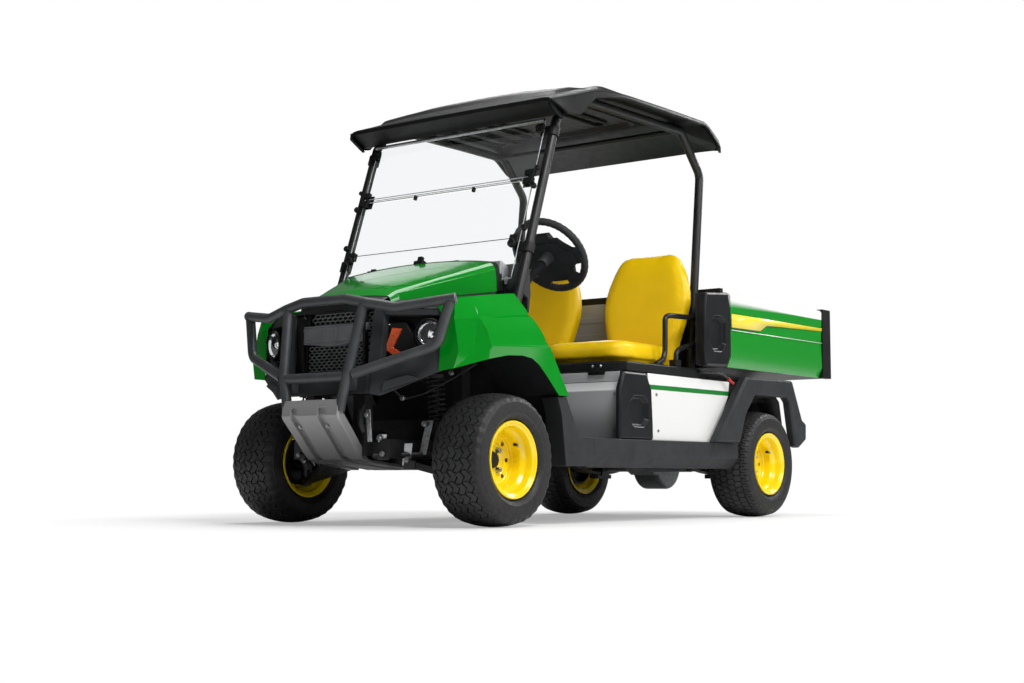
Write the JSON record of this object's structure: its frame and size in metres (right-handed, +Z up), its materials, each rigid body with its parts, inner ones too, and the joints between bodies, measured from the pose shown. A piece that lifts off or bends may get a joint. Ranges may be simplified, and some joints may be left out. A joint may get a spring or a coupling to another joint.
{
  "type": "utility vehicle",
  "caption": "Small electric utility vehicle: open cab with canopy and bench seats, tilting cargo bed with drop tailgate, steered front wheels and brush guard.",
  "frame": {"origin": "on the floor, under the centre of the whole vehicle's box", "axes": "-Y is forward, +X is the vehicle's left (driver's side), +Z is up"},
  "size_m": [1.276, 3.047, 1.928],
  "materials": {
    "tyre": "matt moulded rubber",
    "wheel_yellow": "gloss",
    "body_green": "gloss",
    "trim_black": "matt grained",
    "trim_charcoal": "matt grained",
    "chassis_black": "satin",
    "guard_grey": "satin",
    "skid_grey": "satin",
    "panel_silver": "satin",
    "panel_white": "gloss",
    "seat_yellow": "satin vinyl",
    "clear_glazing": "clear",
    "lamp_lens": "clear",
    "bare_steel": "satin",
    "grip_red": "gloss"
  },
  "bodies": {
    "chassis": {"floor": "trim_black", "side_steps": "trim_charcoal", "seat_base": "trim_black", "side_panels": "panel_white", "corner_mouldings": "trim_charcoal", "seat_cushions": "seat_yellow", "seat_backs": "seat_yellow", "seat_frames": "trim_black", "windshield_clamps": "trim_black", "canopy_frame": "chassis_black", "roof": "trim_charcoal", "windshield": "clear_glazing", "hood": "body_green", "front_fenders": "body_green", "front_bumper": "trim_charcoal", "grille": "trim_black", "lamps": "lamp_lens", "brush_guard": "guard_grey", "skid_plate": "skid_grey", "dash": "trim_charcoal", "steering_column": "trim_black", "pedals": "chassis_black", "rear_fenders": "trim_charcoal", "bed_lever": "grip_red", "frame": "chassis_black", "hitch_receiver": "chassis_black", "front_arms": "chassis_black", "front_struts": "chassis_black", "drive_unit": "chassis_black", "rear_springs": "chassis_black", "battery_pack": "trim_black"},
    "front_left_wheel": {"tyre_fl": "tyre", "rim_fl": "wheel_yellow", "hub_fl": "trim_black"},
    "front_right_wheel": {"tyre_fr": "tyre", "rim_fr": "wheel_yellow", "hub_fr": "trim_black"},
    "rear_left_wheel": {"tyre_rl": "tyre", "rim_rl": "wheel_yellow", "hub_rl": "trim_black"},
    "rear_right_wheel": {"tyre_rr": "tyre", "rim_rr": "wheel_yellow", "hub_rr": "trim_black"},
    "left_knuckle": {"knuckle_left": "bare_steel"},
    "right_knuckle": {"knuckle_right": "bare_steel"},
    "rack": {"steering_rack": "bare_steel"},
    "helm": {"steering_wheel": "trim_black"},
    "bed": {"bed_tub": "trim_black", "bed_sides": "body_green", "bed_posts": "trim_charcoal"},
    "gate": {"tailgate": "body_green"}
  },
  "joints": [
    {"name": "steering_turn", "type": "hinge", "parent": "chassis", "child": "helm", "pos_m": [0.29, -0.403, 1.108], "axis": [0, 0.788, 0.6157], "range_deg": [-420, 420]},
    {"name": "left_wheel_steer", "type": "hinge", "parent": "chassis", "child": "left_knuckle", "pos_m": [0.436, -1.088, 0.246], "axis": [0, 0, 1], "range_deg": [-30, 30]},
    {"name": "right_wheel_steer", "type": "hinge", "parent": "chassis", "child": "right_knuckle", "pos_m": [-0.436, -1.088, 0.246], "axis": [0, 0, 1], "range_deg": [-30, 30]},
    {"name": "rack_travel", "type": "slide", "parent": "chassis", "child": "rack", "axis": [1, 0, 0], "range_m": [-0.04, 0.04]},
    {"name": "front_left_spin", "type": "hinge", "parent": "left_knuckle", "child": "front_left_wheel", "pos_m": [0.52, -1.088, 0.246], "axis": [1, 0, 0], "continuous": true},
    {"name": "front_right_spin", "type": "hinge", "parent": "right_knuckle", "child": "front_right_wheel", "pos_m": [-0.52, -1.088, 0.246], "axis": [1, 0, 0], "continuous": true},
    {"name": "rear_left_spin", "type": "hinge", "parent": "chassis", "child": "rear_left_wheel", "pos_m": [0.522, 0.893, 0.246], "axis": [1, 0, 0], "continuous": true},
    {"name": "rear_right_spin", "type": "hinge", "parent": "chassis", "child": "rear_right_wheel", "pos_m": [-0.522, 0.893, 0.246], "axis": [1, 0, 0], "continuous": true},
    {"name": "bed_tilt", "type": "hinge", "parent": "chassis", "child": "bed", "pos_m": [0, 1.352, 0.61], "axis": [-1, 0, 0], "range_deg": [0, 45]},
    {"name": "tailgate_drop", "type": "hinge", "parent": "bed", "child": "gate", "pos_m": [0, 1.508, 0.687], "axis": [-1, 0, 0], "range_deg": [0, 90]}
  ],
  "couplings": [
    {"joint": "left_wheel_steer", "follows": "steering_turn", "ratio": 0.071419},
    {"joint": "right_wheel_steer", "follows": "steering_turn", "ratio": 0.071419},
    {"joint": "rack_travel", "follows": "steering_turn", "m_per_rad": -0.0054567}
  ]
}
